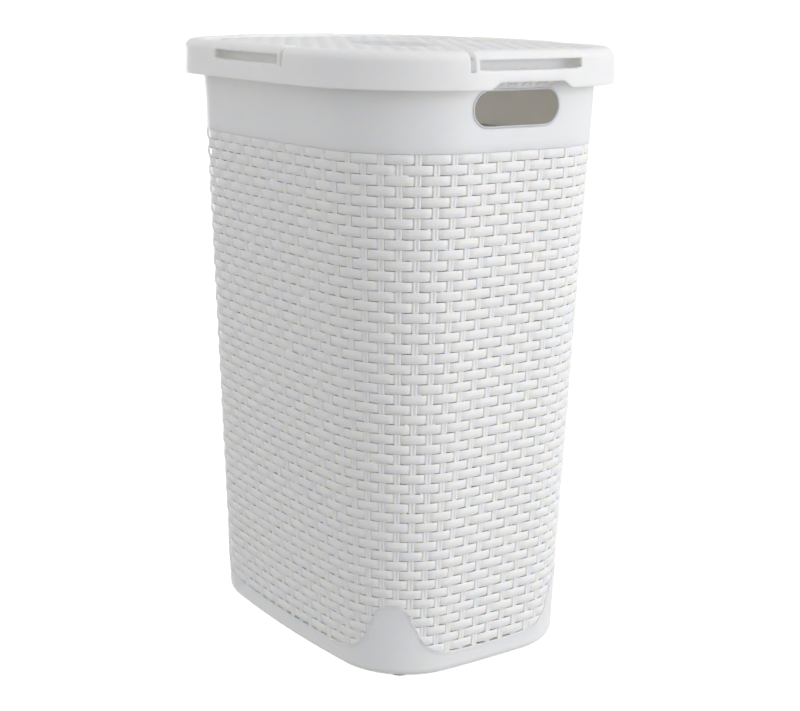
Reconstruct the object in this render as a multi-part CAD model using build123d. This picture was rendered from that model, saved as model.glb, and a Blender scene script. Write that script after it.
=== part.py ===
from build123d import *
import os

# Laundry hamper with a hinged lid: a tapered plastic tub, a skirted lid with side windows,
# a blank oval badge, two hinge brackets with pins at the back and four foot pads. Millimetres,
# +Z up, X along the long side, origin under the middle of the tub, front at -Y, hinge at +Y.

# Overall
LENGTH = 448.0
WIDTH = 349.0
HEIGHT = 610.0

# Lid
LID_CORNER = 131.0          # plan radius of the lid's corners
LID_BULGE_LONG = 9.8        # how far the middle of a long side stands out past its ends
LID_BULGE_SHORT = 2.5
SKIRT_HEIGHT = 34.0
SKIRT_WALL = 2.5
SKIRT_DRAFT = 1.5           # the skirt's top edge lies this far inside its bottom edge
LID_EDGE_RADIUS = 7.0
RIM_WIDTH = 20.0            # flat rim round the recessed panel
PANEL_RECESS = 3.0
PANEL_THICKNESS = 3.0
SEAT_RING_WALL = 3.0

# Windows in the skirt, and the notch beside one end of each
WINDOW_HALF = 60.0
WINDOW_LOW = 594.5
WINDOW_HIGH = 602.8
POST_WIDTH = 3.5
NOTCH_WIDTH = 5.5
NOTCH_LOW = 591.5
NOTCH_DEPTH = 21.0
WINDOW_DEPTH = 9.0          # from the side's middle, to pass the skirt where it curves in

# Arch in the skirt's bottom edge over each handle hole
ARCH_FOOT_HALF = 49.0
ARCH_TOP_HALF = 36.0
ARCH_HEIGHT = 6.5

# Tub
TUB_TOP = 590.0
TUB_BOTTOM = 3.0
TUB_WALL = 2.5
FLOOR_THICKNESS = 3.0
TUB_TOP_INSET = 20.4        # from the lid's widest outline to the tub's top outline
TAPER = 25.0                # further inset per side at the bottom
TUB_TOP_CORNER = 104.0
TUB_BOTTOM_CORNER = 78.0
TUB_BULGE_LONG = 11.5
TUB_BULGE_SHORT = 4.5
BASE_EDGE = 10.0            # bevel round the bottom edge
BAND_LOW = 518.0            # smooth band from here up to the lid
BAND_PROUD = 1.0
BASE_RIM_HIGH = 24.0        # smooth rim round the foot of the tub

# Handle holes through the short sides
HANDLE_LENGTH = 100.0
HANDLE_HEIGHT = 33.0
HANDLE_Z = 557.5

# Hinges
HINGE_X = 85.0
HINGE_Y = 164.0
HINGE_Z = 584.0
KNUCKLE_RADIUS = 4.5
LUG_HALF = 7.0
CHEEK_GAP = 0.6
CHEEK_WALL = 4.0
PIN_RADIUS = 1.5
PIN_CLEARANCE = 0.06

# Feet
FOOT_X = 143.0
FOOT_Y = 82.0
FOOT_RADIUS = 10.0
FOOT_STUD_RADIUS = 5.0
FOOT_STUD_HEIGHT = 2.0

# Badge
BADGE_LENGTH = 120.0
BADGE_WIDTH = 64.0
BADGE_THICKNESS = 1.5

SKIRT_LOW = HEIGHT - SKIRT_HEIGHT
PANEL_TOP = HEIGHT - PANEL_RECESS
PANEL_LOW = PANEL_TOP - PANEL_THICKNESS


def plan(z, inset, corner, bulge_long, bulge_short):
    """A flat oblong face with bowed sides and round corners, inset from the overall outline."""
    x_mid = LENGTH / 2 - inset
    y_mid = WIDTH / 2 - inset
    x_end = x_mid - bulge_short
    y_end = y_mid - bulge_long
    corners = [(x_end, -y_end), (x_end, y_end), (-x_end, y_end), (-x_end, -y_end)]
    middles = [(x_mid, 0), (0, y_mid), (-x_mid, 0), (0, -y_mid)]
    with BuildSketch(Plane.XY.offset(z)) as sketch:
        with BuildLine():
            for k, middle in enumerate(middles):
                ThreePointArc(corners[k], middle, corners[(k + 1) % 4])
        make_face()
        fillet(sketch.vertices(), corner)
    return sketch.sketch.face()


def wall(low, high):
    """The ruled solid between two plan faces."""
    return Solid.make_loft([low.outer_wire(), high.outer_wire()], True)


def lid_plan(z, inset):
    return plan(z, inset, LID_CORNER - inset, LID_BULGE_LONG, LID_BULGE_SHORT)


def tub_plan(z, extra=0.0):
    """The tub's outline at a height, with an extra inset, along its straight taper."""
    t = (TUB_TOP - z) / (TUB_TOP - TUB_BOTTOM)
    inset = TUB_TOP_INSET + TAPER * t + extra
    corner = TUB_TOP_CORNER + (TUB_BOTTOM_CORNER - TUB_TOP_CORNER) * t - extra
    return plan(z, inset, corner, TUB_BULGE_LONG, TUB_BULGE_SHORT)


def block(x0, x1, y0, y1, z0, z1):
    """A box given by its limits."""
    return Pos((x0 + x1) / 2, (y0 + y1) / 2, (z0 + z1) / 2) * Box(x1 - x0, y1 - y0, z1 - z0)


def rod_x(x0, x1, y, z, radius):
    """A cylinder along X."""
    turned = Pos((x0 + x1) / 2, y, z) * Rot(0, 90, 0)
    return turned * Cylinder(radius, x1 - x0)


def tub():
    base = wall(tub_plan(TUB_BOTTOM, BASE_EDGE), tub_plan(TUB_BOTTOM + BASE_EDGE, BAND_PROUD / 2))
    rim = wall(tub_plan(TUB_BOTTOM + BASE_EDGE, BAND_PROUD / 2), tub_plan(BASE_RIM_HIGH, BAND_PROUD / 2))
    side = wall(tub_plan(BASE_RIM_HIGH, BAND_PROUD), tub_plan(BAND_LOW, BAND_PROUD))
    band = wall(tub_plan(BAND_LOW), tub_plan(TUB_TOP))
    body = base + rim + side + band

    floor = TUB_BOTTOM + FLOOR_THICKNESS
    knee = floor + BASE_EDGE
    body -= wall(tub_plan(floor, TUB_WALL + BASE_EDGE), tub_plan(knee, TUB_WALL + BAND_PROUD))
    body -= wall(tub_plan(knee, TUB_WALL + BAND_PROUD), tub_plan(TUB_TOP + 1, TUB_WALL + BAND_PROUD))

    slot = Plane.YZ * SlotOverall(HANDLE_LENGTH, HANDLE_HEIGHT)
    body -= Pos(-LENGTH / 2, 0, HANDLE_Z) * extrude(slot, LENGTH)

    for x in (-FOOT_X, FOOT_X):
        for y in (-FOOT_Y, FOOT_Y):
            body -= Pos(x, y, TUB_BOTTOM + FOOT_STUD_HEIGHT / 2) * Cylinder(FOOT_STUD_RADIUS, FOOT_STUD_HEIGHT)
    return body


def hinge_bracket(x):
    """Two cheeks on a back plate that follows the tub's wall."""
    half = LUG_HALF + CHEEK_GAP + CHEEK_WALL
    root = WIDTH / 2 - TUB_TOP_INSET - TUB_WALL - BAND_PROUD
    low = HINGE_Z - KNUCKLE_RADIUS
    high = HINGE_Z + KNUCKLE_RADIUS
    body = block(x - half, x + half, root, HINGE_Y, low, high)
    body += rod_x(x - half, x + half, HINGE_Y, HINGE_Z, KNUCKLE_RADIUS)
    gap = LUG_HALF + CHEEK_GAP
    body -= block(x - gap, x + gap, HINGE_Y - KNUCKLE_RADIUS - CHEEK_GAP, WIDTH, low - 1, high + 1)
    body -= wall(tub_plan(BAND_LOW), tub_plan(TUB_TOP))
    body -= rod_x(x - half - 1, x + half + 1, HINGE_Y, HINGE_Z, PIN_RADIUS + PIN_CLEARANCE)
    return body


def side_cut(turn, half_length):
    """One side's window and notch, modelled on the +X side with the notch towards -Y.

    turn is the angle about Z that carries the +X side to the side being cut.
    """
    outer = half_length + 1
    inner = half_length - WINDOW_DEPTH
    window = block(inner, outer, -WINDOW_HALF, WINDOW_HALF, WINDOW_LOW, WINDOW_HIGH)
    notch_near = WINDOW_HALF + POST_WIDTH
    notch_far = notch_near + NOTCH_WIDTH
    notch = block(half_length - NOTCH_DEPTH, outer, -notch_far, -notch_near, NOTCH_LOW, HEIGHT + 1)
    return Rot(0, 0, turn) * (window + notch)


def lid():
    edge_low = HEIGHT - LID_EDGE_RADIUS
    skirt = wall(lid_plan(SKIRT_LOW, 0), lid_plan(edge_low, SKIRT_DRAFT))
    # the rounded top edge in three straight steps of a quarter circle
    steps = [(0.0, 0.0), (0.5, 0.134), (0.866, 0.5), (1.0, 1.0)]
    outer = skirt
    for (up0, in0), (up1, in1) in zip(steps, steps[1:]):
        low = lid_plan(edge_low + up0 * LID_EDGE_RADIUS, SKIRT_DRAFT + in0 * LID_EDGE_RADIUS)
        high = lid_plan(edge_low + up1 * LID_EDGE_RADIUS, SKIRT_DRAFT + in1 * LID_EDGE_RADIUS)
        outer += wall(low, high)

    hollow_top = SKIRT_WALL + SKIRT_DRAFT
    body = outer - wall(lid_plan(SKIRT_LOW - 1, SKIRT_WALL), lid_plan(PANEL_LOW, hollow_top))
    recess = SKIRT_DRAFT + RIM_WIDTH
    body -= wall(lid_plan(PANEL_TOP, recess + 1), lid_plan(HEIGHT + 1, recess))

    ring = wall(tub_plan(TUB_TOP), tub_plan(PANEL_LOW)) - wall(
        tub_plan(TUB_TOP - 1, SEAT_RING_WALL), tub_plan(PANEL_LOW + 1, SEAT_RING_WALL)
    )
    body += ring

    # front and back notches sit towards +X and -X, so the pattern repeats after half a turn
    body -= side_cut(0, LENGTH / 2)
    body -= side_cut(180, LENGTH / 2)
    mirrored = side_cut(0, WIDTH / 2).mirror(Plane.XZ)
    body -= Rot(0, 0, -90) * mirrored
    body -= Rot(0, 0, 90) * mirrored

    arch = Polygon(
        (-ARCH_FOOT_HALF, 0),
        (-ARCH_TOP_HALF, ARCH_HEIGHT),
        (ARCH_TOP_HALF, ARCH_HEIGHT),
        (ARCH_FOOT_HALF, 0),
        (ARCH_FOOT_HALF, -1),
        (-ARCH_FOOT_HALF, -1),
        align=None,
    )
    body -= Pos(-LENGTH, 0, SKIRT_LOW) * extrude(Plane.YZ * arch, 2 * LENGTH)

    for x in (-HINGE_X, HINGE_X):
        x0, x1 = x - LUG_HALF, x + LUG_HALF
        web = block(x0, x1, HINGE_Y - KNUCKLE_RADIUS, HINGE_Y + KNUCKLE_RADIUS, HINGE_Z, PANEL_LOW + 1)
        body += web + rod_x(x0, x1, HINGE_Y, HINGE_Z, KNUCKLE_RADIUS)
        body -= rod_x(x0 - 1, x1 + 1, HINGE_Y, HINGE_Z, PIN_RADIUS)
    return body


def badge():
    return Pos(0, 0, PANEL_TOP) * extrude(Ellipse(BADGE_LENGTH / 2, BADGE_WIDTH / 2), BADGE_THICKNESS)


def hinge_pin(x):
    half = LUG_HALF + CHEEK_GAP + CHEEK_WALL
    return rod_x(x - half, x + half, HINGE_Y, HINGE_Z, PIN_RADIUS)


def foot(x, y):
    pad = Pos(x, y, TUB_BOTTOM / 2) * Cylinder(FOOT_RADIUS, TUB_BOTTOM)
    stud = Pos(x, y, TUB_BOTTOM + FOOT_STUD_HEIGHT / 2) * Cylinder(FOOT_STUD_RADIUS, FOOT_STUD_HEIGHT)
    return pad + stud


nodes = {
    "tub": tub(),
    "lid": lid(),
    "badge": badge(),
    "hinge_bracket_left": hinge_bracket(-HINGE_X),
    "hinge_bracket_right": hinge_bracket(HINGE_X),
    "hinge_pin_left": hinge_pin(-HINGE_X),
    "hinge_pin_right": hinge_pin(HINGE_X),
    "foot_front_left": foot(-FOOT_X, -FOOT_Y),
    "foot_front_right": foot(FOOT_X, -FOOT_Y),
    "foot_back_left": foot(-FOOT_X, FOOT_Y),
    "foot_back_right": foot(FOOT_X, FOOT_Y),
}

os.makedirs("parts", exist_ok=True)
for name, shape in nodes.items():
    export_step(shape, f"parts/{name}.step")
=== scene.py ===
import math

import bmesh
import bpy
import numpy as np
from mathutils import Matrix, Vector


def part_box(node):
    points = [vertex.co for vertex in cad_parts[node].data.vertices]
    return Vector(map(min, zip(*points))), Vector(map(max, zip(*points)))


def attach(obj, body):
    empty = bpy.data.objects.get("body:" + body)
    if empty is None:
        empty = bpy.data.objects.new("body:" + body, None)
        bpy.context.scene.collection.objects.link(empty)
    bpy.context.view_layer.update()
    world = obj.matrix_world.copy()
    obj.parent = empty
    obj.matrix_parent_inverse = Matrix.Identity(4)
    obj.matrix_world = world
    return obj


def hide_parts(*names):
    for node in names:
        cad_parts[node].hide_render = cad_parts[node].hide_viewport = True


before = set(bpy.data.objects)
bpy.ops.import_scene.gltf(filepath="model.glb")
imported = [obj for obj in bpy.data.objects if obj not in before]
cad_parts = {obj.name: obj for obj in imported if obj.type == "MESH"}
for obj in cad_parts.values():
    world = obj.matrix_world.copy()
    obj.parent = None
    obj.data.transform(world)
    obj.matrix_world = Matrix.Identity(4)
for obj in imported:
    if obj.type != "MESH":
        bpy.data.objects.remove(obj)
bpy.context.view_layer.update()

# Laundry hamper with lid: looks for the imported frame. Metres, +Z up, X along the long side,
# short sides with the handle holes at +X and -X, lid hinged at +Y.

MM = 0.001
TUB_LOW, TUB_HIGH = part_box("tub")
LID_LOW, LID_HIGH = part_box("lid")
BADGE_LOW, BADGE_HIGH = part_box("badge")

# Tub outline, from the CAD model
TAPER = 25 * MM              # how far each side comes in from the tub's top to its bottom
TOP_CORNER = 104 * MM
BOTTOM_CORNER = 78 * MM
TUB_BOW_LONG = 11.5 * MM
TUB_BOW_SHORT = 4.5 * MM
WALL = 3 * MM

# Weave
BAND_LOW = 518 * MM
WEAVE_LOW = 26.2 * MM
ROWS = 50
RIBS_PER_QUARTER = 18
WEAVE_SHARES = np.array([0.166, 0.475, 0.359])  # of a quarter's ribs: short side, corner, long side
RIB_HALF = 3.1 * MM
STRAND_GLOW = 1.5 * MM        # how far light spreads inside the thin strands and ribs

# Foot rim, which rises to a smooth bell at each corner
RIM_TOP = 24.5 * MM
BELL_RISE = 53.5 * MM
BELL_HALF = 25 * MM
BASE_ROUND = 9 * MM

# Handle holes
HANDLE_LENGTH = 100 * MM
HANDLE_HEIGHT = 33 * MM
HANDLE_Z = 557.5 * MM
HANDLE_BEAD = 1.1 * MM

# Lid
LID_CORNER = 131 * MM
LID_BOW_LONG = 9.8 * MM
LID_BOW_SHORT = 2.5 * MM
SKIRT_WALL = 2.5 * MM
SKIRT_DRAFT = 1.5 * MM
LID_ROUND = 9 * MM
LID_RIM = 20 * MM
PANEL_DROP = 3 * MM
PANEL_THICK = 3 * MM
PANEL_PITCH_X = 16.3 * MM     # the panel's weave: between ribs, then between strands
PANEL_PITCH_Y = 9.84 * MM
PANEL_STRAND_HALF = 4.2 * MM
WINDOW_HALF = 60 * MM
WINDOW_LOW = 594.5 * MM
WINDOW_HIGH = 602.8 * MM
POST = 3.5 * MM
NOTCH = 5.5 * MM
NOTCH_LOW = 591.5 * MM
NOTCH_DEPTH = 21 * MM
WINDOW_DEPTH = 9 * MM
LEDGE_DROP = 2.2 * MM         # how far the sill slopes down to the skirt's face
TONGUE_RISE = 0.9 * MM
ARCH_FOOT = 49 * MM
ARCH_TOP = 36 * MM
ARCH_RISE = 6.5 * MM
GUSSETS = 5
GUSSET_PITCH = 17 * MM

# Hinge
HINGE_X = 85 * MM
HINGE_Y = 164 * MM
HINGE_Z = 584 * MM
KNUCKLE = 4.5 * MM
LUG_HALF = 7 * MM

# Points round a piece, in every ring of its mesh
RING_FINE = 960
RING_BASE = 760
RING_COARSE = 304

# Brightness of the surroundings below the horizon, at it, above it and straight overhead
WORLD_LOW = 0.32
WORLD_HORIZON = 1.0
WORLD_HIGH = 0.82
WORLD_TOP = 0.6

# Camera: its place and how far it sees in metres, turns in degrees, lens in mm
CAMERA_PLACE = (1.33542, -0.93272, 0.67111)
CAMERA_YAW = 55.4
CAMERA_PITCH = 11.8
CAMERA_ROLL = 0.66
CAMERA_LENS = 71.2
CAMERA_SHIFT = (0.0247, -0.0562)
VIEW_END = 1000
FLOOR_HALF = 300


# ---------------------------------------------------------------- outlines

class Outline:
    """A closed oblong outline with bowed sides and round corners.

    walk() takes places round it in quarters: 0 is the middle of the +X side, 1 of +Y,
    2 of -X and 3 of -Y. Each quarter is half a short side, a corner and half a long side.
    """

    def __init__(self, half_x, half_y, corner, bow_long, bow_short, shares=None):
        end_x = half_x - bow_short
        end_y = half_y - bow_long
        self.r_long = (end_x**2 + bow_long**2) / (2 * bow_long)
        self.r_short = (end_y**2 + bow_short**2) / (2 * bow_short)
        self.corner = corner
        self.c_long = np.array([0, half_y - self.r_long])
        self.c_short = np.array([half_x - self.r_short, 0])
        # the corner's centre touches both side arcs from inside
        reach_a = self.r_long - corner
        reach_b = self.r_short - corner
        gap = self.c_short - self.c_long
        d = np.hypot(*gap)
        along = (reach_a**2 - reach_b**2 + d**2) / (2 * d)
        across = math.sqrt(reach_a**2 - along**2)
        self.c_corner = self.c_long + gap * along / d + across * np.array([gap[1], -gap[0]]) / d
        self.turn_short = math.atan2(self.c_corner[1], self.c_corner[0] - self.c_short[0])
        self.turn_long = math.atan2(self.c_corner[1] - self.c_long[1], self.c_corner[0])
        self.lengths = np.array([
            self.r_short * self.turn_short,
            corner * (self.turn_long - self.turn_short),
            self.r_long * (math.pi / 2 - self.turn_long),
        ])
        if shares is None:
            shares = self.lengths / self.lengths.sum()
        self.shares = shares

    def walk(self, u):
        """Points and outward normals at places u, an array in quarters."""
        u = np.asarray(u, float) % 4
        quarter = np.floor(u).astype(int)
        f = u - quarter
        f = np.where(quarter % 2 == 1, 1 - f, f)
        a, b, c = self.shares
        turn = np.interp(f, [0, a, a + b, 1], [0, self.turn_short, self.turn_long, math.pi / 2])
        normal = np.stack([np.cos(turn), np.sin(turn)], -1)
        in_short = (f <= a)[:, None]
        in_corner = (f <= a + b)[:, None]
        centre = np.where(in_short, self.c_short, np.where(in_corner, self.c_corner, self.c_long))
        radius = np.where(in_short, self.r_short, np.where(in_corner, self.corner, self.r_long))
        point = centre + radius * normal
        sign = np.array([(1, 1), (-1, 1), (-1, -1), (1, -1)])[quarter]
        return point * sign, normal * sign

    def from_corner(self, u):
        """Distance along the outline from the middle of the nearest corner."""
        u = np.asarray(u, float) % 4
        quarter = np.floor(u).astype(int)
        f = u - quarter
        f = np.where(quarter % 2 == 1, 1 - f, f)
        a, b, c = self.shares
        la, lb, lc = self.lengths
        s = np.interp(f, [0, a, a + b, 1], [0, la, la + lb, la + lb + lc])
        return np.abs(s - la - lb / 2)


def lid_outline(inset=0.0):
    return Outline(
        LID_HIGH.x - inset, LID_HIGH.y - inset, LID_CORNER - inset, LID_BOW_LONG, LID_BOW_SHORT
    )


def tub_outline(z, shares=None):
    t = (TUB_HIGH.z - z) / (TUB_HIGH.z - TUB_LOW.z)
    return Outline(
        TUB_HIGH.x - TAPER * t,
        TUB_HIGH.y - TAPER * t,
        TOP_CORNER + (BOTTOM_CORNER - TOP_CORNER) * t,
        TUB_BOW_LONG,
        TUB_BOW_SHORT,
        shares,
    )


SLOPE = TAPER / (TUB_HIGH.z - TUB_LOW.z)


# ---------------------------------------------------------------- mesh helpers

def make_object(name, verts, faces, material, sharp=35):
    mesh = bpy.data.meshes.new(name)
    mesh.from_pydata([tuple(v) for v in verts], [], [tuple(f) for f in faces])
    bm = bmesh.new()
    bm.from_mesh(mesh)
    bmesh.ops.recalc_face_normals(bm, faces=bm.faces)
    bm.to_mesh(mesh)
    bm.free()
    shade(mesh, sharp)
    mesh.materials.append(material)
    obj = bpy.data.objects.new(name, mesh)
    bpy.context.scene.collection.objects.link(obj)
    return obj


def shade(mesh, sharp):
    mesh.polygons.foreach_set("use_smooth", [True] * len(mesh.polygons))
    mesh.set_sharp_from_angle(angle=math.radians(sharp))
    mesh.update()


def ring_faces(rings, around, closed_profile):
    """Quads between consecutive rings of equal length; the last joins the first if closed."""
    i = np.arange(around)
    j = (i + 1) % around
    faces = []
    last = rings if closed_profile else rings - 1
    for k in range(last):
        a, b = k * around, ((k + 1) % rings) * around
        faces.append(np.stack([a + i, a + j, b + j, b + i], -1))
    return np.concatenate(faces)


def places(count):
    """Evenly spaced places round an outline, in quarters."""
    return np.linspace(0, 4, count, endpoint=False)


def rounding(steps):
    """Angles of a quarter round, without its start."""
    return [math.radians(90 * k / steps) for k in range(1, steps + 1)]


def walled_shell(name, rings, outer, material, sharp=35):
    """A closed wall of rings. Rings outer - 1 and outer are not joined but each filled across."""
    around = len(rings[0])
    skipped = range((outer - 1) * around, outer * around)
    faces = [tuple(f) for k, f in enumerate(ring_faces(len(rings), around, True)) if k not in skipped]
    faces.append(tuple(skipped))
    faces.append(tuple(range(outer * around, (outer + 1) * around)))
    return make_object(name, np.concatenate(rings), faces, material, sharp)


def capped_faces(rings, around):
    """Faces of a turned piece: quads between its rings and a cap over each end."""
    faces = [tuple(f) for f in ring_faces(rings, around, False)]
    faces.append(tuple(range(around)))
    faces.append(tuple(range((rings - 1) * around, rings * around)))
    return faces


def plate_faces(start, n):
    """Faces of a plate whose two outlines of n points follow each other from start."""
    faces = [tuple(start + i for i in range(n)), tuple(start + n + i for i in range(n))]
    for i in range(n):
        j = (i + 1) % n
        faces.append((start + i, start + j, start + n + j, start + n + i))
    return faces


def sheet_faces(start, rows, columns):
    """Quads of an open grid of points that starts at vertex start, row after row."""
    faces = []
    for i in range(rows - 1):
        for j in range(columns - 1):
            a = start + i * columns + j
            b = a + columns
            faces.append((a, b, b + 1, a + 1))
    return faces


def apply_modifiers(obj):
    bpy.context.view_layer.update()
    graph = bpy.context.evaluated_depsgraph_get()
    mesh = bpy.data.meshes.new_from_object(obj.evaluated_get(graph))
    obj.modifiers.clear()
    old = obj.data
    obj.data = mesh
    bpy.data.meshes.remove(old)


def cut(obj, cutters):
    for cutter in cutters:
        mod = obj.modifiers.new("cut", "BOOLEAN")
        mod.operation = "DIFFERENCE"
        mod.solver = "EXACT"
        mod.object = cutter
    apply_modifiers(obj)
    for cutter in cutters:
        bpy.data.objects.remove(cutter)


def soften(obj, width, angle=40):
    mod = obj.modifiers.new("soften", "BEVEL")
    mod.width = width
    mod.segments = 2
    mod.limit_method = "ANGLE"
    mod.angle_limit = math.radians(angle)
    apply_modifiers(obj)


def prism(name, outline, low, high, axes):
    """A closed prism: outline points in two axes, from low to high along the third."""
    a, b, c = axes
    verts = []
    for level in (low, high):
        for p in outline:
            v = [0.0, 0.0, 0.0]
            v[a], v[b], v[c] = p[0], p[1], level
            verts.append(v)
    return make_object(name, verts, plate_faces(0, len(outline)), WHITE)


def stadium(length, height, steps=16):
    """Points round a slot with half-round ends, centred on the origin."""
    r = height / 2
    straight = length / 2 - r
    points = []
    for centre, start in ((straight, -90), (-straight, 90)):
        for k in range(steps + 1):
            angle = math.radians(start + 180 * k / steps)
            points.append((centre + r * math.cos(angle), r * math.sin(angle)))
    return points


def finish_piece(obj, body, *nodes, slot="tub_plastic"):
    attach(obj, body)
    if nodes:
        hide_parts(*nodes)
    return obj


# ---------------------------------------------------------------- materials

def new_material(name):
    material = bpy.data.materials.new(name)
    material.use_nodes = True
    return material, material.node_tree.nodes, material.node_tree.links


def white_plastic(name, grain_scale, grain_strength, glow=6 * MM):
    """Satin white moulded plastic with fine grain lines and a faint cloudiness."""
    material, nodes, links = new_material(name)
    shader = nodes["Principled BSDF"]
    shader.inputs["IOR"].default_value = 1.46
    shader.inputs["Subsurface Weight"].default_value = 1.0
    shader.inputs["Subsurface Radius"].default_value = (1.0, 0.9, 0.7)
    shader.inputs["Subsurface Scale"].default_value = glow
    coords = nodes.new("ShaderNodeTexCoord")

    cloud = nodes.new("ShaderNodeTexNoise")
    cloud.inputs["Scale"].default_value = 14
    cloud.inputs["Detail"].default_value = 3
    links.new(coords.outputs["Object"], cloud.inputs["Vector"])
    tint = nodes.new("ShaderNodeMix")
    tint.data_type = "RGBA"
    tint.inputs[6].default_value = (0.975, 0.965, 0.94, 1)
    tint.inputs[7].default_value = (0.98, 0.973, 0.955, 1)
    links.new(cloud.outputs["Fac"], tint.inputs[0])
    links.new(tint.outputs[2], shader.inputs["Base Color"])

    rough = nodes.new("ShaderNodeMapRange")
    rough.inputs["To Min"].default_value = 0.38
    rough.inputs["To Max"].default_value = 0.5
    links.new(cloud.outputs["Fac"], rough.inputs["Value"])
    links.new(rough.outputs["Result"], shader.inputs["Roughness"])

    stretch = nodes.new("ShaderNodeMapping")
    stretch.inputs["Scale"].default_value = grain_scale
    links.new(coords.outputs["Object"], stretch.inputs["Vector"])
    grain = nodes.new("ShaderNodeTexNoise")
    grain.inputs["Scale"].default_value = 1.0
    grain.inputs["Detail"].default_value = 2
    links.new(stretch.outputs["Vector"], grain.inputs["Vector"])
    bump = nodes.new("ShaderNodeBump")
    bump.inputs["Strength"].default_value = grain_strength
    bump.inputs["Distance"].default_value = 0.3 * MM
    links.new(grain.outputs["Fac"], bump.inputs["Height"])
    links.new(bump.outputs["Normal"], shader.inputs["Normal"])
    return material


def plain_material(name, color, roughness, metallic=0.0):
    """Rubber or metal with a fine uneven grain."""
    material, nodes, links = new_material(name)
    shader = nodes["Principled BSDF"]
    shader.inputs["Base Color"].default_value = (*color, 1)
    shader.inputs["Metallic"].default_value = metallic
    coords = nodes.new("ShaderNodeTexCoord")
    noise = nodes.new("ShaderNodeTexNoise")
    noise.inputs["Scale"].default_value = 400
    links.new(coords.outputs["Object"], noise.inputs["Vector"])
    rough = nodes.new("ShaderNodeMapRange")
    rough.inputs["To Min"].default_value = roughness - 0.06
    rough.inputs["To Max"].default_value = roughness + 0.06
    links.new(noise.outputs["Fac"], rough.inputs["Value"])
    links.new(rough.outputs["Result"], shader.inputs["Roughness"])
    bump = nodes.new("ShaderNodeBump")
    bump.inputs["Strength"].default_value = 0.2
    bump.inputs["Distance"].default_value = 0.2 * MM
    links.new(noise.outputs["Fac"], bump.inputs["Height"])
    links.new(bump.outputs["Normal"], shader.inputs["Normal"])
    return material


WHITE = white_plastic("white_smooth", (300, 300, 300), 0.05)
STRAND_WHITE = white_plastic("white_strand", (18, 18, 560), 0.7, STRAND_GLOW)
RIB_WHITE = white_plastic("white_rib", (1200, 1200, 25), 0.25, STRAND_GLOW)
TOP_STRAND_WHITE = white_plastic("white_top_strand", (18, 560, 18), 0.7, STRAND_GLOW)
RUBBER = plain_material("foot_rubber", (0.055, 0.04, 0.03), 0.75)
STEEL = plain_material("pin_steel", (0.55, 0.55, 0.56), 0.35, metallic=1.0)


# ---------------------------------------------------------------- tub

def quarters(ribs):
    """Places in quarters, from places counted in ribs."""
    return np.asarray(ribs, float) / RIBS_PER_QUARTER


def bell_top(distance):
    """Height of the smooth foot rim at a distance along the wall from a corner's middle."""
    return RIM_TOP + BELL_RISE / (1 + (distance / BELL_HALF) ** 4)


def tub_strands():
    """Horizontal strands: each row is one ring that rises over every other rib."""
    rng = np.random.default_rng(4)
    pitch = (BAND_LOW - WEAVE_LOW) / ROWS
    # places along a strand in ribs from its middle, how far it stands out, and its height
    along = np.array([-0.8, -0.72, -0.38, 0.0, 0.38, 0.72, 0.8])
    out = np.array([-2.0, -0.75, -0.2, 0.0, -0.2, -0.75, -2.0]) * MM
    tall = np.array([0.96, 0.975, 0.99, 1.0, 0.99, 0.975, 0.96])
    # section: height from the middle and depth behind the crown
    up = np.array([-4.75, -4.1, 0.0, 4.1, 4.7, 3.6, -3.6]) * MM
    back = np.array([-0.8, -0.15, 0.0, -0.15, -0.7, -1.9, -1.9]) * MM
    sections = 2 * RIBS_PER_QUARTER * len(along)
    verts = []
    faces = []
    for row in range(ROWS):
        z = WEAVE_LOW + (row + 0.5) * pitch
        outline = tub_outline(z, WEAVE_SHARES)
        middles = 2 * np.arange(2 * RIBS_PER_QUARTER) + row % 2
        u = quarters(middles[:, None] + along[None, :]).ravel()
        point, normal = outline.walk(u)
        lift = np.repeat(rng.normal(0, 0.08 * MM, len(middles)), len(along))
        shift = np.repeat(rng.normal(0, 0.06 * MM, len(middles)), len(along))
        depth = np.tile(out, len(middles)) + shift
        height = up[None, :] * np.tile(tall, len(middles))[:, None] + lift[:, None]
        reach = depth[:, None] + back[None, :] + height * SLOPE
        xy = point[:, None, :] + normal[:, None, :] * reach[..., None]
        block = np.concatenate([xy, (z + height)[..., None]], -1)
        hidden = bell_top(outline.from_corner(u)) > z + 7 * MM
        start = row * sections * len(up)
        for s in range(sections):
            n = (s + 1) % sections
            if hidden[s] and hidden[n]:
                continue
            for k in range(len(up)):
                m = (k + 1) % len(up)
                faces.append((
                    start + s * len(up) + k, start + n * len(up) + k,
                    start + n * len(up) + m, start + s * len(up) + m,
                ))
        verts.append(block.reshape(-1, 3))
    return make_object("tub_strands", np.concatenate(verts), faces, STRAND_WHITE, 50)


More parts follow.
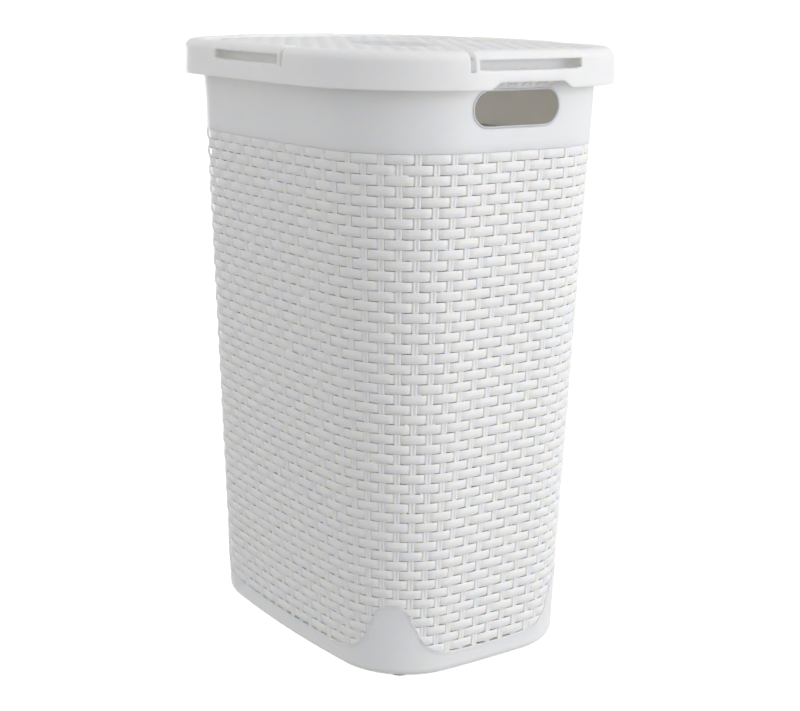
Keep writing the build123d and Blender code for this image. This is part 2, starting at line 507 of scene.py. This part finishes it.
def tub_ribs():
    """Upright ribs, each two rounded cords side by side with a groove between."""
    side = np.array([-3.1, -3.1, -2.5, -1.3, -0.4, 0.4, 1.3, 2.5, 3.1, 3.1]) / 3.1 * RIB_HALF
    out = np.array([-3.0, -1.5, -0.85, -0.75, -1.5, -1.5, -0.75, -0.85, -1.5, -3.0]) * MM
    levels = np.linspace(RIM_TOP - 4 * MM, BAND_LOW + 0.5 * MM, 14)
    u = quarters(np.arange(4 * RIBS_PER_QUARTER))
    rings = []
    for z in levels:
        point, normal = tub_outline(z, WEAVE_SHARES).walk(u)
        tangent = np.stack([-normal[:, 1], normal[:, 0]], -1)
        xy = (point[:, None, :] + tangent[:, None, :] * side[None, :, None]
              + normal[:, None, :] * out[None, :, None])
        rings.append(np.concatenate([xy, np.full((*xy.shape[:2], 1), z)], -1))
    verts = np.stack(rings, 1).reshape(-1, 3)
    n = len(side)
    faces = []
    for rib in range(len(u)):
        start = rib * len(levels) * n
        for k in range(len(levels) - 1):
            for i in range(n):
                j = (i + 1) % n
                a, b = start + k * n, start + (k + 1) * n
                faces.append((a + i, a + j, b + j, b + i))
        last = start + (len(levels) - 1) * n
        faces.append(tuple(range(start, start + n)))
        faces.append(tuple(range(last, last + n)))
    return make_object("tub_ribs", verts, faces, RIB_WHITE, 60)


def tub_ring(u, out, z):
    """One ring of points round the tub; out and z may vary with u."""
    z = np.broadcast_to(z, u.shape)
    base = tub_outline(float(z.min()), WEAVE_SHARES)
    top = tub_outline(float(z.max()) + 1e-6, WEAVE_SHARES)
    share = ((z - z.min()) / (float(z.max()) - float(z.min()) + 1e-6))[:, None]
    p0, n0 = base.walk(u)
    p1, n1 = top.walk(u)
    point = p0 + (p1 - p0) * share
    normal = n0 + (n1 - n0) * share
    xy = point + normal * np.broadcast_to(out, u.shape)[:, None]
    return np.concatenate([xy, z[:, None]], -1)


def tub_base():
    """Floor, rounded foot edge, foot rim and the four corner bells, as one closed wall."""
    u = places(RING_BASE)
    low = TUB_LOW.z
    top = bell_top(tub_outline(RIM_TOP + BELL_RISE / 2, WEAVE_SHARES).from_corner(u))
    shoulder = low + BASE_ROUND
    rings = []
    lip = ((-3.2, 0.5), (-1.4, 0.0), (-0.3, 0.05), (0.3, 0.45), (0.4, 1.1), (0.1, 1.9))
    for out, drop in lip:
        rings.append(tub_ring(u, out * MM, top - drop * MM))
    for share in (0.8, 0.6, 0.4, 0.2, 0.0):
        rings.append(tub_ring(u, 0.0, shoulder + (top - 1.9 * MM - shoulder) * share))
    for angle in rounding(8):
        out = -BASE_ROUND * (1 - math.cos(angle))
        rings.append(tub_ring(u, out, shoulder - BASE_ROUND * math.sin(angle)))
    rings.append(tub_ring(u, -30 * MM, low))
    outer = len(rings)
    # the floor's upper face and the inside curve up to the wall
    for out, rise in ((-30, 3), (-15, 3), (-7, 5.5), (-3.6, 13)):
        rings.append(tub_ring(u, out * MM, low + rise * MM))
    return walled_shell("tub_base", rings, outer, WHITE, 40)


def tub_band():
    """The smooth band under the lid, with a ledge over the weave and the two handle holes."""
    u = places(RING_COARSE)
    profile = [
        (-WALL, BAND_LOW - 0.6 * MM),
        (-0.7 * MM, BAND_LOW - 0.6 * MM),
        (-0.2 * MM, BAND_LOW - 0.3 * MM),
        (0.05 * MM, BAND_LOW + 0.4 * MM),
    ]
    steps = 8
    for k in range(1, steps):
        profile.append((0.0, BAND_LOW + (TUB_HIGH.z - BAND_LOW) * k / steps))
    profile += [(0.0, TUB_HIGH.z - 0.7 * MM), (-0.6 * MM, TUB_HIGH.z), (-2.6 * MM, TUB_HIGH.z),
                (-3.2 * MM, TUB_HIGH.z - 0.8 * MM)]
    for k in range(steps - 1, 0, -1):
        profile.append((-WALL - 0.6 * MM, BAND_LOW + (TUB_HIGH.z - BAND_LOW) * k / steps))
    rings = [tub_ring(u, out, z) for out, z in profile]
    faces = ring_faces(len(rings), len(u), True)
    obj = make_object("tub_band", np.concatenate(rings), faces, WHITE)
    hole = [(y, HANDLE_Z + z) for y, z in stadium(HANDLE_LENGTH, HANDLE_HEIGHT)]
    cut(obj, [prism("handle_cut", hole, -LID_HIGH.x, LID_HIGH.x, (1, 2, 0))])
    soften(obj, 0.5 * MM)
    shade(obj.data, 35)
    return obj


def handle_beads():
    """A rounded bead round each handle hole."""
    verts = []
    faces = []
    steps = 10
    path = stadium(HANDLE_LENGTH + HANDLE_BEAD, HANDLE_HEIGHT + HANDLE_BEAD, 24)
    for side in (1, -1):
        start = len(verts)
        for k, (y, z) in enumerate(path):
            y0, z0 = path[k - 1]
            y1, z1 = path[(k + 1) % len(path)]
            away = Vector((z1 - z0, y0 - y1)).normalized()
            t = (TUB_HIGH.z - HANDLE_Z - z) / (TUB_HIGH.z - TUB_LOW.z)
            half_y = TUB_HIGH.y - TUB_BOW_LONG
            x = TUB_HIGH.x - TAPER * t - TUB_BOW_SHORT * (y / half_y) ** 2
            for i in range(steps):
                angle = 2 * math.pi * i / steps
                ring_out = HANDLE_BEAD * math.cos(angle)
                face_out = 0.6 * HANDLE_BEAD * math.sin(angle)
                verts.append((
                    side * (x + face_out), y + away.x * ring_out, HANDLE_Z + z + away.y * ring_out
                ))
        n = len(path)
        for k in range(n):
            for i in range(steps):
                a = start + k * steps
                b = start + ((k + 1) % n) * steps
                j = (i + 1) % steps
                faces.append((a + i, a + j, b + j, b + i))
    return make_object("tub_handle_beads", verts, faces, WHITE, 80)


# ---------------------------------------------------------------- lid

def lid_ring(u, inset, z):
    point, normal = lid_outline().walk(u)
    xy = point - normal * inset
    return np.concatenate([xy, np.broadcast_to(z, u.shape)[:, None]], -1)


def tongue(u):
    """How far the rim stands up over each window, from the notch to the window's other end."""
    point, normal = lid_outline().walk(u)
    x, y = point[:, 0], point[:, 1]
    on_short = np.abs(normal[:, 0]) > 0.9
    # the notch is on the -Y end of the +X side and on the +X end of the -Y side
    place = np.where(on_short, -y * np.sign(x), x * -np.sign(y))
    near = 1 / (1 + np.exp(-(place + WINDOW_HALF + 1 * MM) / (0.5 * MM)))
    far = 1 / (1 + np.exp((place - WINDOW_HALF - POST - NOTCH * 0.5) / (0.4 * MM)))
    middle = np.abs(normal).max(-1) > 0.985
    return TONGUE_RISE * near * far * middle


def lid_shell():
    """Skirt, rounded edge, rim and recessed panel, with windows, notches and arches cut."""
    u = places(RING_FINE)
    top = LID_HIGH.z
    low = LID_LOW.z
    edge = top - LID_ROUND
    profile = [(SKIRT_WALL - 0.3 * MM, low, 0), (0.5 * MM, low, 0), (0.1 * MM, low + 0.4 * MM, 0)]
    profile += [(SKIRT_DRAFT * k / 6, low + (edge - low) * k / 6, 0) for k in (1, 3, 5, 6)]
    for angle in rounding(8):
        profile.append((
            SKIRT_DRAFT + LID_ROUND * (1 - math.cos(angle)),
            edge + LID_ROUND * math.sin(angle),
            math.sin(angle) ** 2,
        ))
    inner = SKIRT_DRAFT + LID_RIM
    profile += [(14 * MM, top, 1), (inner - 0.8 * MM, top, 1), (inner - 0.2 * MM, top - 0.3 * MM, 1),
                (inner + 0.1 * MM, top - 1 * MM, 0.6), (inner + 0.4 * MM, top - PANEL_DROP, 0),
                (inner + 12 * MM, top - PANEL_DROP, 0)]
    outer = len(profile)
    under = top - PANEL_DROP - PANEL_THICK
    profile += [(inner + 12 * MM, under, 0), (SKIRT_WALL + SKIRT_DRAFT + 2 * MM, under, 0),
                (SKIRT_WALL + SKIRT_DRAFT, under - 2 * MM, 0)]
    rings = []
    for inset, z, share in profile:
        rings.append(lid_ring(u, inset, z + share * tongue(u)))
    obj = walled_shell("lid_shell", rings, outer, WHITE)
    cut(obj, lid_cutters())
    soften(obj, 0.6 * MM, angle=50)
    shade(obj.data, 40)
    return obj


def rounded_box(x0, x1, y0, y1, z0, z1, radius=1 * MM):
    """A box whose edges are rounded, as a cutter."""
    bm = bmesh.new()
    bmesh.ops.create_cube(bm, size=1)
    for v in bm.verts:
        v.co = Vector((
            x0 if v.co.x < 0 else x1,
            y0 if v.co.y < 0 else y1,
            z0 if v.co.z < 0 else z1,
        ))
    bmesh.ops.bevel(bm, geom=bm.edges[:], offset=radius, segments=3, profile=0.5, affect="EDGES")
    mesh = bpy.data.meshes.new("cutter")
    bm.to_mesh(mesh)
    bm.free()
    obj = bpy.data.objects.new("cutter", mesh)
    bpy.context.scene.collection.objects.link(obj)
    return obj


def lid_cutters():
    """Cutters for each side's window, notch and sill, and for the arch over each handle hole."""
    cutters = []
    past = 5 * MM
    short, long = LID_HIGH.x, LID_HIGH.y
    for turn, half, flip in ((0, short, False), (180, short, False), (-90, long, True), (90, long, True)):
        outside = half + past
        window_in = half - WINDOW_DEPTH
        window = rounded_box(window_in, outside, -WINDOW_HALF, WINDOW_HALF, WINDOW_LOW, WINDOW_HIGH)
        near = WINDOW_HALF + POST
        notch = rounded_box(
            half - NOTCH_DEPTH, outside, -near - NOTCH, -near, NOTCH_LOW, LID_HIGH.z + past, 0.8 * MM
        )
        ledge = [
            (outside, WINDOW_LOW - LEDGE_DROP),
            (outside, WINDOW_LOW + 2 * MM),
            (window_in, WINDOW_LOW + 2 * MM),
            (half - 4.5 * MM, WINDOW_LOW),
            (half - 1.2 * MM, WINDOW_LOW - LEDGE_DROP),
        ]
        ledge = prism("ledge_cut", ledge, -WINDOW_HALF, WINDOW_HALF - 6 * MM, (0, 2, 1))
        for cutter in (window, notch, ledge):
            if flip:
                cutter.data.transform(Matrix.Scale(-1, 4, (0, 1, 0)))
                cutter.data.flip_normals()
            cutter.data.transform(Matrix.Rotation(math.radians(turn), 4, "Z"))
            cutters.append(cutter)
    arch = []
    for k in range(13):
        f = k / 12
        ease = f * f * (3 - 2 * f)
        arch.append((-ARCH_FOOT + (ARCH_FOOT - ARCH_TOP) * f, LID_LOW.z + ARCH_RISE * ease))
    arch += [(-y, z) for y, z in reversed(arch)]
    arch += [(ARCH_FOOT, LID_LOW.z - past), (-ARCH_FOOT, LID_LOW.z - past)]
    outside = short + past
    inside = short - 12 * MM
    for x0, x1 in ((-outside, -inside), (inside, outside)):
        cutters.append(prism("arch_cut", arch, x0, x1, (1, 2, 0)))
    return cutters


def lid_ring_seat():
    """The ring under the lid that rests on the tub's top edge."""
    u = places(RING_COARSE)
    under = LID_HIGH.z - PANEL_DROP - 2.5 * MM
    low = TUB_HIGH.z + 0.05 * MM
    edge = low + 0.3 * MM
    profile = ((-0.2, low), (0.0, edge), (0.3, under), (-2.8, under), (-3.0, edge), (-2.7, low))
    rings = [tub_ring(u, out * MM, z) for out, z in profile]
    faces = ring_faces(len(rings), len(u), True)
    return make_object("lid_seat_ring", np.concatenate(rings), faces, WHITE)


def lid_gussets():
    """Thin ribs between the skirt and the tub over each handle hole, deeper towards the tub."""
    verts = []
    faces = []
    skirt = LID_LOW.z + ARCH_RISE + 0.6 * MM
    tail = LID_LOW.z + 1.5 * MM
    top = WINDOW_LOW - 1 * MM
    half = 0.8 * MM
    x_out = LID_HIGH.x - SKIRT_WALL - 1.2 * MM
    x_in = TUB_HIGH.x + 2.6 * MM
    shape = ((x_out, skirt), (x_out, top), (x_in, top), (x_in, tail), (x_in + 1.5 * MM, tail))
    for side in (1, -1):
        for k in range(GUSSETS):
            y = (k - (GUSSETS - 1) / 2) * GUSSET_PITCH
            faces += plate_faces(len(verts), len(shape))
            for dy in (-half, half):
                verts += [(side * x, side * (y + dy), z) for x, z in shape]
    return make_object("lid_gussets", verts, faces, WHITE)


def lid_lugs():
    """The two hinge lugs under the back rim, each round at the pin."""
    verts = []
    faces = []
    top = LID_HIGH.z - PANEL_DROP - 2.5 * MM
    shape = [(HINGE_Y + KNUCKLE, top), (HINGE_Y - KNUCKLE, top)]
    for k in range(17):
        angle = math.radians(180 + 180 * k / 16)
        shape.append((HINGE_Y + KNUCKLE * math.cos(angle), HINGE_Z + KNUCKLE * math.sin(angle)))
    for x in (-HINGE_X, HINGE_X):
        faces += plate_faces(len(verts), len(shape))
        for side in (-LUG_HALF, LUG_HALF):
            verts += [(x + side, y, z) for y, z in shape]
    return make_object("lid_hinge_lugs", verts, faces, WHITE, 40)


def lid_weave():
    """The panel's low woven relief: strands along X over ribs along Y, clipped to the panel."""
    panel = LID_HIGH.z - PANEL_DROP
    half_x = LID_HIGH.x - SKIRT_DRAFT - LID_RIM - 2.5 * MM
    half_y = LID_HIGH.y - SKIRT_DRAFT - LID_RIM - 2.5 * MM
    edge = Outline(half_x, half_y, LID_CORNER - LID_RIM, LID_BOW_LONG, LID_BOW_SHORT)
    border = edge.walk(places(2000))[0]

    def reach(y):
        """Half the panel's length at a distance y from its middle line."""
        close = np.abs(np.abs(border[:, 1]) - abs(y)) < 1.2 * MM
        return np.abs(border[close, 0]).max() if close.any() else 0.0

    def inside(x, y):
        return abs(y) < half_y and abs(x) < reach(y)

    verts = []
    faces = []
    rows = int(half_y / PANEL_PITCH_Y)
    columns = int(half_x / PANEL_PITCH_X)
    ends = np.array([-0.78, -0.7, -0.35, 0.0, 0.35, 0.7, 0.78]) * PANEL_PITCH_X
    rise = np.array([0.0, 0.9, 1.25, 1.4, 1.25, 0.9, 0.0]) * MM
    across = np.array([-4.2, -3.6, 0.0, 3.6, 4.2]) * MM
    crown = np.array([0.0, 0.75, 1.0, 0.75, 0.0])
    sink = 0.15 * MM
    shortest = 5 * MM
    for row in range(-rows, rows + 1):
        y = row * PANEL_PITCH_Y
        if abs(y) + PANEL_STRAND_HALF > half_y:
            continue
        limit = min(reach(y - PANEL_STRAND_HALF), reach(y + PANEL_STRAND_HALF))
        for column in range(-columns - 1, columns + 2):
            if (row + column) % 2:
                continue
            spots = np.clip(column * PANEL_PITCH_X + ends, -limit, limit)
            if spots[-1] - spots[0] < shortest:
                continue
            faces += sheet_faces(len(verts), len(ends), len(across))
            for spot, high in zip(spots, rise):
                # a strand cut short by the panel's edge comes down to the panel there
                if abs(abs(spot) - limit) < 1e-9:
                    high = 0.0
                for v, c in zip(across, crown):
                    verts.append((spot, y + v, panel - sink + (high + sink) * c))
    rib_side = np.array([-3.1, -2.5, -1.3, -0.4, 0.4, 1.3, 2.5, 3.1]) * MM
    rib_high = np.array([-0.1, 0.5, 0.6, 0.1, 0.1, 0.6, 0.5, -0.1]) * MM
    rib_steps = 12
    for column in range(-columns, columns + 1):
        x = column * PANEL_PITCH_X
        span = [y for y in np.arange(-half_y, half_y, 2 * MM) if inside(abs(x) + 3.2 * MM, y)]
        if not span:
            continue
        faces += sheet_faces(len(verts), rib_steps, len(rib_side))
        for y in np.linspace(min(span), max(span), rib_steps):
            verts += [(x + side, y, panel + high) for side, high in zip(rib_side, rib_high)]
    return make_object("lid_weave", verts, faces, TOP_STRAND_WHITE, 50)


def badge():
    """The blank oval badge: a low dished plate with a rounded rim."""
    low = BADGE_LOW.z
    high = BADGE_HIGH.z
    # how far in from the edge in mm, and the height there
    profile = [
        (0, low),
        (0, high - 0.5 * MM),
        (0.3, high - 0.1 * MM),
        (1.0, high),
        (2.6, high),
        (3.2, high - 0.4 * MM),
        (4.0, high - 0.55 * MM),
        (14, high - 0.45 * MM),
    ]
    steps = 96
    verts = []
    for inset, z in profile:
        for k in range(steps):
            angle = 2 * math.pi * k / steps
            reach_x = BADGE_HIGH.x - inset * MM
            reach_y = BADGE_HIGH.y - inset * MM
            verts.append((reach_x * math.cos(angle), reach_y * math.sin(angle), z))
    return make_object("lid_badge", verts, capped_faces(len(profile), steps), WHITE, 50)


def foot(node):
    """A turned rubber pad with a rounded lower edge and its stud."""
    low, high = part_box(node)
    centre = (low + high) / 2
    radius = (high.x - low.x) / 2 + 2 * MM
    pad = TUB_LOW.z
    stud = 5 * MM
    profile = [
        (radius - 1.2 * MM, 0),
        (radius - 0.4 * MM, 0.3 * MM),
        (radius, 1.1 * MM),
        (radius, pad),
        (stud, pad),
        (stud, high.z),
    ]
    steps = 40
    verts = []
    for r, z in profile:
        for k in range(steps):
            angle = 2 * math.pi * k / steps
            verts.append((centre.x + r * math.cos(angle), centre.y + r * math.sin(angle), z))
    return make_object(node + "_pad", verts, capped_faces(len(profile), steps), RUBBER, 40)


# ---------------------------------------------------------------- build

for piece in (tub_strands(), tub_ribs(), tub_base(), tub_band(), handle_beads()):
    finish_piece(piece, "hamper", "tub")
for piece in (lid_shell(), lid_ring_seat(), lid_gussets(), lid_lugs(), lid_weave()):
    finish_piece(piece, "cover", "lid", slot="lid_plastic")
finish_piece(badge(), "cover", "badge", slot="lid_plastic")
for corner in ("foot_front_left", "foot_front_right", "foot_back_left", "foot_back_right"):
    finish_piece(foot(corner), "hamper", corner, slot="foot_rubber")
for node, material in (
    ("hinge_bracket_left", WHITE), ("hinge_bracket_right", WHITE),
    ("hinge_pin_left", STEEL), ("hinge_pin_right", STEEL),
):
    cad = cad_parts[node]
    cad.data.materials.clear()
    cad.data.materials.append(material)


# ---------------------------------------------------------------- stage, lights, camera

def floor():
    """A plain pale floor. It glows evenly, but lights nothing through diffuse rays."""
    half = FLOOR_HALF
    verts = [(-half, -half, 0), (half, -half, 0), (half, half, 0), (-half, half, 0)]
    material, nodes, links = new_material("floor")
    shader = nodes["Principled BSDF"]
    shader.inputs["Base Color"].default_value = (0.3, 0.3, 0.3, 1)
    shader.inputs["Roughness"].default_value = 0.9
    shader.inputs["Emission Color"].default_value = (1, 1, 1, 1)
    shader.inputs["Emission Strength"].default_value = 0.92
    obj = make_object("floor", verts, [(0, 1, 2, 3)], material)
    obj.visible_diffuse = False


def area_light(name, place, target, width, height, power):
    """A soft panel light that faces its target and doesn't show itself."""
    data = bpy.data.lights.new(name, "AREA")
    data.shape = "RECTANGLE"
    data.size = width
    data.size_y = height
    data.energy = power
    obj = bpy.data.objects.new(name, data)
    bpy.context.scene.collection.objects.link(obj)
    obj.location = place
    obj.rotation_mode = "QUATERNION"
    obj.rotation_quaternion = (Vector(place) - Vector(target)).to_track_quat("Z", "Y")
    obj.visible_camera = False


def camera():
    """Looks down a little on the near corner, with one short and one long side in view."""
    yaw = math.radians(CAMERA_YAW)
    pitch = math.radians(CAMERA_PITCH)
    roll = math.radians(CAMERA_ROLL)
    level = math.cos(pitch)
    ahead = Vector((-math.sin(yaw) * level, math.cos(yaw) * level, -math.sin(pitch)))
    right = Vector((math.cos(yaw), math.sin(yaw), 0))
    up = right.cross(ahead)
    right_rolled = right * math.cos(roll) + up * math.sin(roll)
    up_rolled = up * math.cos(roll) - right * math.sin(roll)
    data = bpy.data.cameras.new("camera")
    data.sensor_width = 36
    data.lens = CAMERA_LENS
    data.shift_x = CAMERA_SHIFT[0]
    data.shift_y = CAMERA_SHIFT[1]
    data.clip_start = 0.01
    data.clip_end = VIEW_END
    obj = bpy.data.objects.new("camera", data)
    bpy.context.scene.collection.objects.link(obj)
    axes = Matrix((right_rolled, up_rolled, -ahead)).transposed()
    obj.matrix_world = Matrix.Translation(CAMERA_PLACE) @ axes.to_4x4()
    bpy.context.scene.camera = obj


def surroundings():
    """Soft light from all round: white near the horizon, dimmer overhead and below."""
    world = bpy.data.worlds.new("world")
    bpy.context.scene.world = world
    world.use_nodes = True
    nodes, links = world.node_tree.nodes, world.node_tree.links
    coords = nodes.new("ShaderNodeTexCoord")
    split = nodes.new("ShaderNodeSeparateXYZ")
    links.new(coords.outputs["Generated"], split.inputs["Vector"])
    ramp = nodes.new("ShaderNodeValToRGB")
    links.new(split.outputs["Z"], ramp.inputs["Fac"])
    stops = ramp.color_ramp.elements
    stops[0].position = 0.0
    stops[0].color = (WORLD_LOW, WORLD_LOW, WORLD_LOW, 1)
    stops[1].position = 0.25
    stops[1].color = (WORLD_HIGH, WORLD_HIGH, WORLD_HIGH, 1)
    others = ((0.001, WORLD_HORIZON), (0.08, WORLD_HORIZON), (0.6, WORLD_HIGH), (0.85, WORLD_TOP))
    for height, level in others:
        stops.new(height).color = (level, level, level, 1)
    links.new(ramp.outputs["Color"], nodes["Background"].inputs["Color"])


floor()
camera()
middle = (0, 0, 0.3)
area_light("key", (2.2, 1.3, 0.9), middle, 1.6, 1.6, 25)
area_light("back", (-2.6, 1.3, 0.3), middle, 2.4, 0.55, 35)
surroundings()
bpy.context.scene.view_settings.view_transform = "Standard"
bpy.context.scene.cycles.diffuse_bounces = 10
